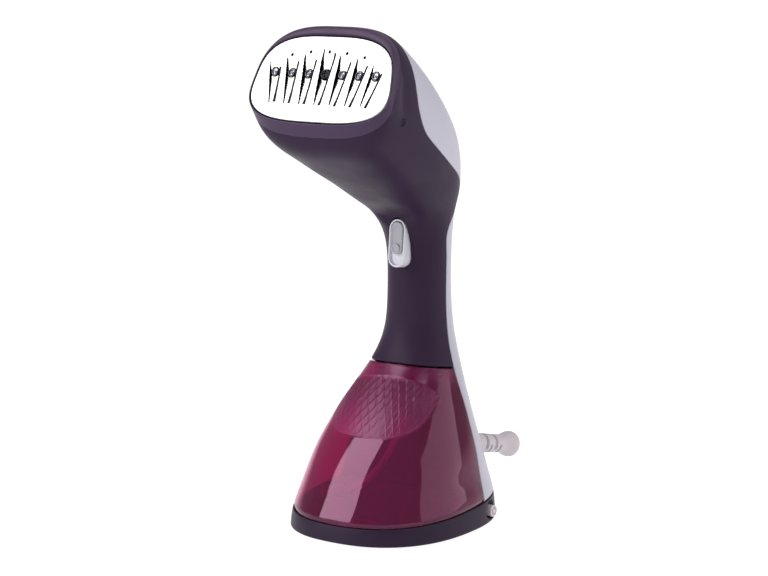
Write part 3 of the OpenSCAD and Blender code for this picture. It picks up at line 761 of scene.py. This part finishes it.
def plate_edge(a, grow, h):
    """Points on the plate's outline, grown sideways."""
    r = plate_radius(a) + grow
    v = r * np.cos(a)
    return plate_point(r * np.sin(a) * (1 - PLATE_TAPER * v / PLATE_HALF[1]), v, h)


# Seen from the middle outwards, the height of each flute above the outlets, the length that it
# fades over, and the upper ends of its left and right walls, which get painted shade
FLUTE_TOP = [(15, 12, 14.5, 12.5), (11.5, 9, 10.5, 8), (10, 8, 9, 6.5), (6.5, 7.5, 4.2, 2.6)]
FLUTE_LOW, FLUTE_RUN_IN = 18.8, 14
FLUTE_HALF = (1.7, 2.2)              # half width at the foot, and how much it gains
FLUTE_DEPTH, FLUTE_SHALLOWER = 2.2, 0.25
FLUTES = range(-3, 4)
# Where the painted shade on the walls starts, is full, ends and is gone, outwards from half the
# width, and the same for the painted shade in the gap round each outlet, from its middle
LEFT_WALL_SHADE, RIGHT_WALL_SHADE = (-0.1, 0.1, 0.6, 0.8), (-0.7, -0.5, 1.15, 1.4)
GAP_SHADE = (2.2, 2.4, 2.75, 3.0)


def band(t, start, full, end, gone):
    """1 between full and end, fading to 0 at start and at gone."""
    return smooth(t, start, full) * (1 - smooth(t, end, gone))


def flutes(x, v):
    """Depth of the pressed flutes, and how much painted shade their walls and the outlet gaps
    get.
    """
    depth, painted_shade = np.zeros_like(x), np.zeros_like(x)
    for k in FLUTES:
        fan = -k * FLUTE_FAN
        dx, dv = x - k * FLUTE_PITCH, v - OUTLET_V
        across = dx * math.cos(fan) + dv * math.sin(fan)
        up = dv * math.cos(fan) - dx * math.sin(fan)
        top, fade, left_top, right_top = FLUTE_TOP[abs(k)]
        start, gain = FLUTE_HALF
        half = start + gain * np.clip((up + FLUTE_LOW) / (FLUTE_LOW + 8), 0, 1)
        body = np.clip((up + FLUTE_LOW) / FLUTE_RUN_IN, 0, 1) * np.clip((top - up) / fade, 0, 1)
        wall = 1 - smooth(np.abs(across), half - 0.6, half)
        depth = np.maximum(depth, (FLUTE_DEPTH - FLUTE_SHALLOWER * abs(k)) * body * wall)
        left = band(across, *(m - half for m in LEFT_WALL_SHADE))
        left = left * (1 - smooth(up, left_top - 1.5, left_top))
        right = band(across, *(m + half for m in RIGHT_WALL_SHADE))
        right = right * (1 - smooth(up, right_top - 1.5, right_top))
        painted_shade = np.maximum(painted_shade, (left + right) * smooth(body, 0.0, 0.06))
        painted_shade = np.maximum(painted_shade, band(np.hypot(dx, dv), *GAP_SHADE))
    return depth, painted_shade


# Five pin holes in an arc above the outlets, with painted shade inside them, and the recess of
# the plate screw
PIN_DOTS = [(12.2 * k, OUTLET_V + 12.6 - 0.65 * k * k) for k in range(-2, 3)]
PIN_DEPTH, PIN_WALL, PIN_SHADE = 0.9, (0.35, 0.75), (0.7, 1.1)
RECESS_DEPTH, RECESS_WALL = 1.3, (2.9, 3.3)


def plate_height(x, v):
    """Height of the pressed plate: flutes, pin holes and the recess of the middle screw."""
    h = PROUD - flutes(x, v)[0]
    for dot in PIN_DOTS:
        h = h - PIN_DEPTH * (1 - smooth(np.hypot(x - dot[0], v - dot[1]), *PIN_WALL))
    return h - RECESS_DEPTH * (1 - smooth(np.hypot(x, v - OUTLET_V), *RECESS_WALL))


def plate_surface(uv):
    """The pressed face of the plate over (across, up)."""
    x, v = uv[..., 0], uv[..., 1]
    return plate_point(x, v, plate_height(x, v))


def inside_plate(uv):
    """Distance inside the plate's outline."""
    v = uv[..., 1]
    x = uv[..., 0] / (1 - PLATE_TAPER * v / PLATE_HALF[1])
    return plate_radius(np.arctan2(x, v)) - np.hypot(x, v)


def plate_painted_shade(uv, p):
    """Painted shade on the plate: the flute walls, the gaps round the outlets and the pin holes.
    """
    x, v = uv[..., 0], uv[..., 1]
    painted_shade = flutes(x, v)[1]
    for dot in PIN_DOTS:
        painted_shade = np.maximum(painted_shade, 1 - smooth(np.hypot(x - dot[0], v - dot[1]), *PIN_SHADE))
    return painted_shade


# the plate keeps its painted shade on its points, for the near-black walls and holes
dress(shell(
    "steam_plate_face", plate_surface, np.linspace(-46, 46, 310), np.linspace(-25.4, 25.4, 110),
    [(inside_plate, 1.0)], 3.0, marks={"painted_shade": plate_painted_shade}),
    "plate_steel", "steamer_body", "steam_plate")

# Profile of a steam nozzle: [radius, height, corner radius]
NOZZLE_LINE = fillet([
    (0.3, -3.6, 0), (0.3, 0.5, 0.1), (0.85, 0.5, 0.15), (1.0, -0.4, 0.2), (1.5, -0.4, 0.2),
    (1.6, 0.9, 0.2), (2.1, 0.9, 0.3), (2.3, -1.0, 0.3), (2.3, -3.6, 0)])
for k in FLUTES:
    if k:
        seat = FLUTE_SHALLOWER * abs(k) - 1.0
        dress(lathe(f"nozzle_{k + 4}", plate_point(k * FLUTE_PITCH, OUTLET_V, 0), PLATE_FRAME,
                    NOZZLE_LINE + [0, seat], True),
              "nozzle_steel", "steamer_body", "steam_nozzles")

# The plate screw: [radius, height] of each ring of its head
SCREW_LINE = [(2.75, -3.1), (2.75, -0.2), (2.55, 0.15), (2.2, 0.15), (2.05, -0.1), (1.85, -0.1),
              (1.6, 0.0), (1.2, 0.0), (0.8, 0.0), (0.5, 0.0), (0.2, 0.0)]
SCALLOPS, SCALLOP_DEPTH, CROSS_DEPTH = 14, 0.14, 0.7
SCREW_AT = plate_point(0, OUTLET_V, 0)
DISC = degrees((0, 360, 4.0))


def screw_ring(r, h):
    """One ring of the plate screw: a scalloped head with a cross recess."""
    scalloped = r + (SCALLOP_DEPTH * np.cos(SCALLOPS * DISC) if r > 2.3 else 0)
    x, y = np.abs(r * np.sin(DISC)), np.abs(r * np.cos(DISC))
    cross = (1 - smooth(np.minimum(x, y), 0.3, 0.5)) * (r < 1.9)
    sunk = SCREW_AT - CROSS_DEPTH * cross[:, None] * PLATE_N
    return turned(sunk, PLATE_FRAME, scalloped, h, DISC)


dress(loft("plate_screw_head", [screw_ring(r, h) for r, h in SCREW_LINE]),
      "screw_steel", "steamer_body", "plate_screw", finish="screw_black")

# Bezel: a rounded frame from the plate's edge over to the head's skin
RING = degrees((0, 360, 2.0))
SLIT = 0.25          # between the plate and its frame


def skin_ring(u, inset=0.0):
    """The whole outline of the skin at section u."""
    return skin(np.full(RING.shape, u), RING, inset)


def b_spline(knots, steps=7):
    """Quadratic B-spline rings through the first and last of the knots."""
    out = [knots[0]]
    for i in range(1, len(knots) - 1):
        a = knots[0] if i == 1 else (knots[i - 1] + knots[i]) / 2
        b = knots[-1] if i == len(knots) - 2 else (knots[i] + knots[i + 1]) / 2
        for t in np.linspace(0, 1, steps)[1:]:
            out.append(a * (1 - t) ** 2 + 2 * knots[i] * t * (1 - t) + b * t * t)
    return out


inner_edge, rim = plate_edge(RING, SLIT, 0.0), skin_ring(PLATE_U)
crown = b_spline([
    plate_edge(RING, SLIT, -2.5), plate_edge(RING, SLIT, 0.7),
    inner_edge * 0.55 + rim * 0.45 + 1.2 * PLATE_N,
    rim * 0.99 + PLATE_C * 0.01 + 0.25 * PLATE_N,
    skin_ring(13.86), skin_ring(BEZEL_U + 0.005)])
dress(loft("bezel", crown + [skin_ring(BEZEL_U, WALL), plate_edge(RING, 2.0, -5.0)], True),
      "bezel_dark", "steamer_body", "head_bezel")

# ------------------------------------------------------------------ trigger, slider, cord guard
lean_c, lean_s = math.cos(FACE_LEAN), math.sin(FACE_LEAN)
TRIGGER_FRAME = (np.array([1.0, 0, 0]), np.array([0, lean_s, lean_c]),
                 np.array([0, -lean_c, lean_s]))
# Middle of the trigger's face, and the foot of the slider in its recess
TRIGGER_AT = np.array([0, FACE_Y - 0.7, TRIGGER_Z])
SLIDER_AT = TRIGGER_AT + 3 * TRIGGER_FRAME[1] - 1.45 * TRIGGER_FRAME[2]


def pills(name, rows, at):
    """A pill-shaped part from rows of [half width, half length, height, corner radius]."""
    rings = [pill_ring(w, l, h, at, TRIGGER_FRAME) for w, l, h in fillet(rows, 6)]
    return loft(name, rings, angle=50)


dress(pills("trigger_cap", [
    (7.1, 15.6, -11.4, 0), (7.1, 15.6, -9.4, 0.4), (5.8, 14.1, -9.4, 0.3), (5.7, 14, 0.1, 1.0),
    (4.5, 12.8, 0, 0.35), (4.4, 12.7, -1.6, 0.4), (0.3, 8.6, -1.6, 0)], TRIGGER_AT),
    "trigger_grey", "trigger", "trigger")
dress(pills("slider_cap", [
    (4.1, 9.4, 0, 0), (4.1, 9.4, 2.0, 0.6), (3.4, 8.7, 2.15, 0.3), (2.4, 7.2, 1.7, 0.9),
    (0.3, 4.8, 1.6, 0)], SLIDER_AT),
    "slider_grey", "lock_slider", "lock_slider")
# Round thumb stop at the slider's lower end
dress(pills("slider_stop", [
    (2.9, 2.9, 0.6, 0), (2.9, 2.9, 2.6, 0.6), (2.0, 2.0, 2.7, 0.3), (1.6, 1.6, 2.35, 0.3),
    (0.1, 0.1, 2.3, 0)], SLIDER_AT - 6.1 * TRIGGER_FRAME[1]),
    "slider_grey", "lock_slider")

# Profile of the cord guard: [radius, distance from its root, corner radius]
GUARD_LINE = fillet([
    (5.9, -10, 0), (5.9, 0, 3), (5.75, 10, 3), (5.45, 20, 3), (5.5, 27.5, 1.5), (7.6, 34.5, 0.8),
    (7.8, 36.8, 0.6), (7.5, 38, 0.5), (5.4, 37.6, 0.8), (3.6, 34.5, 0)], 7)
# Slots of the guard: [distance from its root, middle and half span in degrees, half width]
GUARD_SLOTS = [(6.6, 45, 90, 0.95), (11.4, 160, 70, 0.45), (16.3, 45, 90, 0.95),
               (21.2, 160, 70, 0.45)]
SLOT_DEPTH, CORD_BORE = 1.6, 3.6
TURN = degrees((0, 360, 3.0))


def guard_ring(r, h):
    """One ring of the guard. Its slots are cut from the upper side and the lower side in turn."""
    cut = np.zeros_like(TURN)
    for at, middle, span, half in GUARD_SLOTS:
        away = np.abs((np.degrees(TURN) - middle + 180) % 360 - 180)
        side = 1 - smooth(away, span - 14, span)
        cut = np.maximum(cut, side * (1 - smooth(abs(h - at), half, half + 0.45)))
    return turned(GUARD_ROOT, GUARD_FRAME, r - SLOT_DEPTH * cut, h, TURN)


lengths = np.linalg.norm(np.diff(GUARD_LINE, axis=0), axis=1)
arc = np.concatenate([[0], np.cumsum(lengths)])
evenly = np.linspace(0, 1, 170) * arc[-1]
outside = [guard_ring(r, h) for r, h in zip(*(np.interp(evenly, arc, c) for c in GUARD_LINE.T))]
bore = [turned(GUARD_ROOT, GUARD_FRAME, CORD_BORE, h, TURN) for h in (20, 5, -10)]
dress(loft("cord_sleeve", outside + bore, True, 50), "guard_pale", "steamer_body", "cord_guard")

# ------------------------------------------------------------------ tank
# The textured front panel: half width and half height, height of its middle, roundness
BIB_HALF, BIB_Z, BIB_N = (32.5, 16.0), 72.5, 3.2


def bib_field(x, z):
    """Above 0 inside the textured front panel of the tank, and 1 in its middle."""
    z = z + 0.0034 * x * x * smooth(z, 70, 80)
    return (1 - (np.abs(x) / BIB_HALF[0]) ** BIB_N
            - (np.abs(z - BIB_Z) / BIB_HALF[1]) ** BIB_N)


LEAF_PITCH, LEAF_TOP_Z, LEAF_HALF, LEAF_N = (5.5, 7.6), 88.0, (0.41, 0.47), 1.25


def leaves(x, z):
    """Leaf-shaped dimples in staggered rows, deeper to the right: depth, and how much painted
    shade a point gets on the right edge of its leaf."""
    across = np.sign(x) * (np.abs(x) + 0.0016 * np.abs(x) ** 2.6)
    depth, edge = np.zeros_like(x), np.zeros_like(x)
    for shift in (0.0, 0.5):
        cx = (across / LEAF_PITCH[0] + shift + 0.5) % 1 - 0.5
        cz = ((z - LEAF_TOP_Z) / LEAF_PITCH[1] + shift + 0.5) % 1 - 0.5
        reach = (1 - (np.abs(cx) / LEAF_HALF[0]) ** LEAF_N
                 - (np.abs(cz) / LEAF_HALF[1]) ** LEAF_N)
        inside = np.clip(2.5 * reach, 0, 1)
        depth = np.maximum(depth, inside * (0.55 + 0.9 * cx))
        edge = np.maximum(edge, np.clip(4 * reach, 0, 1) * smooth(cx - 0.3 * cz, 0.0, 0.24))
    return depth, edge


def tank_relief(uv, p):
    """The leaves of the front panel, shallower towards the foot. The tank's foot draws in a
    little behind the lip of the base."""
    x, z = p[..., 0], p[..., 2]
    inside = smooth(bib_field(x, z), 0, 0.3) * (p[..., 1] < GRIP_FRONT_Y)
    deep = 0.35 + 0.65 * smooth(z, 60, 84)
    foot = 1 - smooth(uv[..., 0], 1.0, 1.22)
    return -inside * (0.12 + 0.5 * deep * leaves(x, z)[0]) - 0.9 * foot


def leaf_painted_shade(uv, p):
    """Painted shade on the right edge of the leaves, fading towards the foot."""
    return leaves(p[..., 0], p[..., 2])[1] * smooth(p[..., 2], 50, 80)


def satin_and_painted_light(uv, p):
    """Where the tank is satin and paler: the front panel, whose paler colour is partly painted
    light, and the strip under the handle, whose paler colour is painted light.
    """
    panel = smooth(bib_field(p[..., 0], p[..., 2]), 0, 0.12) * (p[..., 1] < GRIP_FRONT_Y)
    # the strip under the handle gets the panel's paler colour as painted light
    return np.maximum(panel, 0.8 * smooth(uv[..., 0], 4.35, 4.8))


dress(shell(
    "tank_wall", skin_surface(tank_relief),
    rows_of((0.95, 1.3, 10), (1.3, 3.1, 34), (3.1, 4.9, 120), (4.9, 5.05, 5)),
    degrees((0, 110, 2.5), (110, 250, 0.8), (250, 360.1, 2.5)),
    [(on_skin(lambda p: -behind(p) - 0.35), 0.8), (above(BAND_U + 0.02), 0.4),
     (below(SEAM_U - 0.03), 0.8)], marks={"bib": satin_and_painted_light, "leaf": leaf_painted_shade}),
    "tank_tint", "water_base", "water_tank")


def front_loop(u, shift=-0.35, inset=0.0):
    """Closed outline of the section at u in front of the parting line."""
    a = np.linspace(0, math.pi, 4001)
    p = skin(np.full(a.shape, u), a, inset)
    a0 = a[np.argmax(behind(p) < shift - inset)]
    turn = np.linspace(a0, 2 * math.pi - a0, 96)
    loop = skin(np.full(turn.shape, u), turn, inset)
    back = loop[-1] + (loop[0] - loop[-1]) * np.linspace(0, 1, 25)[1:-1, None]
    return np.vstack([loop, back])


BACK_U = np.linspace(1.03, 4.96, 60)
BACK_EDGE = np.array([front_loop(u)[0] for u in BACK_U])
RIBS_X, RIB_HALF, PANEL_DROP = (-14, 0, 14), 0.7, 0.7


def tank_back_surface(uv):
    """Back wall of the tank, with a raised border and three upright ribs."""
    u, s = uv[..., 0], uv[..., 1]
    x, y, z = (np.interp(u, BACK_U, BACK_EDGE[:, k]) for k in range(3))
    x = x * s
    ribs = sum(np.exp(-((x - c) / RIB_HALF) ** 2) for c in RIBS_X)
    ribs = ribs * smooth(u, 1.3, 1.6) * (1 - smooth(u, 4.1, 4.4))
    panel = 1 - smooth(np.abs(s), 0.86, 0.93)
    return np.stack([x, y - PANEL_DROP * panel + 0.5 * ribs * panel, z], -1)


dress(shell("tank_back", tank_back_surface, np.linspace(1.04, 4.95, 60),
            np.linspace(-1, 1, 81), [], 1.8), "tank_tint", "water_base", "water_tank")
dress(loft("tank_floor", [front_loop(1.04, -0.5, 0.9), front_loop(1.16, -0.6, 1.4)]),
      "tank_tint", "water_base", "water_tank")

# The tank's top, with a mouth in line with the way the body lifts off
LIFT = math.radians(4.33)
LIFT_FRAME = axes_of((0, math.sin(LIFT), math.cos(LIFT)), (1, 0, 0))
MOUTH = np.array([0, 10.5, 93]) - 1.5 * LIFT_FRAME[2]
top_loop, low_loop = front_loop(4.965, -0.4, 0.7), front_loop(4.9, -0.4, 0.9)
spoke = np.arctan2(top_loop[:, 1] - MOUTH[1], top_loop[:, 0] - MOUTH[0])
lip = fillet([(8.3, -11, 0), (8.3, 1.2, 0.3), (10.2, 1.2, 0.5), (10.4, -1.0, 0)], 4)
above_deck = [turned(MOUTH, LIFT_FRAME, r, h, spoke) for r, h in lip]
under_deck = [turned(MOUTH, LIFT_FRAME, r, h, spoke) for r, h in ((10.2, -3.2), (9.8, -11))]
dress(loft("tank_top", above_deck + [top_loop, low_loop] + under_deck, True),
      "tank_tint", "water_base", "water_tank")

# ------------------------------------------------------------------ base and side buttons
DISH_DEPTH, DISH_RISE, BUTTON_HOLE = 2.6, 0.8, 3.55


def base_relief(uv, p):
    """Scoop around each side button, open towards the front."""
    ahead = BUTTON_Y - p[..., 1]
    away = np.hypot(np.where(ahead > 0, ahead * 0.7, ahead * 1.2),
                    p[..., 2] - BUTTON_Z - DISH_RISE)
    return -DISH_DEPTH * (1 - smooth(away, 3.7, 6.4)) * (p[..., 1] > 8)


def button_holes(p):
    """Distance outside the hole of a side button."""
    away = np.hypot(p[..., 1] - BUTTON_Y, p[..., 2] - BUTTON_Z) - BUTTON_HOLE
    return np.where(np.abs(p[..., 0]) > 40, away, FAR)


dress(shell(
    "base_band", skin_surface(base_relief), rows_of((0.08, 1.05, 44)),
    degrees((0, 40, 4.0), (40, 80, 0.8), (80, 280, 3.0), (280, 320, 0.8), (320, 360.1, 4.0)),
    [(above(0.11), 1.4), (below(BAND_U), 0.6), (on_skin(button_holes), 0.3)], 2.2),
    "base_dark", "water_base", "base_ring")
dress(loft("base_deck", [skin_ring(0.985, 1.4), skin_ring(0.82, 2.6)]),
      "base_dark", "water_base", "base_ring")

# Profile of a side button: [radius, distance from the middle of the base, corner radius]
BUTTON_LINE = fillet([
    (4.2, 36, 0), (4.2, 38.4, 0.3), (3.4, 38.4, 0.2), (3.4, 52.1, 0.8), (2.3, 52.1, 0.15),
    (2.2, 51.3, 0.15), (1.6, 51.3, 0.15), (1.5, 52.2, 0.2), (0.05, 52.45, 0)], 5)
for side, sign in (("left", -1), ("right", 1)):
    dress(lathe(f"button_cap_{side}", np.array([0, BUTTON_Y, BUTTON_Z]),
                axes_of((sign, 0, 0), (0, 0, 1)), BUTTON_LINE),
          "button_pale", f"button_{side}", f"release_button_{side}")

# ------------------------------------------------------------------ stage, light and camera
scene = bpy.context.scene
FLOOR_SIZE, FLOOR_GLOW = 60.0, 0.94      # metres, and light of the floor's own
SKY_LIGHT = 0.34                         # strength of the world light above the horizon

corners = np.array([[-1, -1, 0], [1, -1, 0], [1, 1, 0], [-1, 1, 0]])
floor = make("floor", corners * FLOOR_SIZE / 2 / MM, np.array([[0, 1, 2, 3]]))
paper, tree, shader = nodes_of("floor_paper")
pale = ramp(tree, noise(tree, 3, 2), (0.24, 0.24, 0.24), (0.26, 0.26, 0.26))
tree.links.new(pale, shader.inputs["Base Color"])
shader.inputs["Roughness"].default_value = 0.9
shader.inputs["Specular IOR Level"].default_value = 0.1
shader.inputs["Emission Color"].default_value = (1, 1, 1, 1)
shader.inputs["Emission Strength"].default_value = FLOOR_GLOW
floor.data.materials.append(paper)

world = bpy.data.worlds.new("studio")
scene.world = world
world.use_nodes = True
tree = world.node_tree
sky = tree.nodes["Background"]
sky.inputs[0].default_value = (1, 1, 1, 1)
height = tree.nodes.new("ShaderNodeSeparateXYZ")
tree.links.new(tree.nodes.new("ShaderNodeTexCoord").outputs["Generated"], height.inputs[0])
# white at the horizon, as far up as the floor's sweep would reach
tree.links.new(spread(tree, height.outputs["Z"], 1.0, SKY_LIGHT, 0.02, 0.12), sky.inputs[1])


def turned_to(direction):
    """Rotation that points a light or a camera along a direction, upright."""
    return Vector(direction).to_track_quat("-Z", "Y").to_euler()


def softbox(name, place, aim, size, watts):
    """A rectangular area light at place, turned towards aim."""
    data = bpy.data.lights.new(name, "AREA")
    data.shape = "RECTANGLE"
    data.size, data.size_y = size
    data.energy = watts
    o = bpy.data.objects.new(name, data)
    o.location = place
    o.rotation_euler = turned_to(Vector(aim) - Vector(place))
    scene.collection.objects.link(o)


softbox("key", (-1.15, -1.5, 1.45), (0, 0, 0.1), (1.1, 2.45), 46)
softbox("side", (1.75, 0.75, 0.85), (0, 0, 0.12), (2.3, 1.5), 14)
softbox("top", (0.2, 0.1, 1.9), (0, 0, 0.2), (1.2, 1.2), 12)

# The photograph's viewing angle, from the front right and a little above
camera = bpy.data.objects.new("camera", bpy.data.cameras.new("camera"))
scene.collection.objects.link(camera)
scene.camera = camera
camera.data.sensor_width = 36
camera.data.lens = 107.9
camera.location = (0.74565, -1.07476, 0.352)
camera.rotation_euler = turned_to((-0.56607, 0.80843, -0.16126))
camera.data.clip_start, camera.data.clip_end = 0.05, 50
scene.view_settings.view_transform = "Standard"
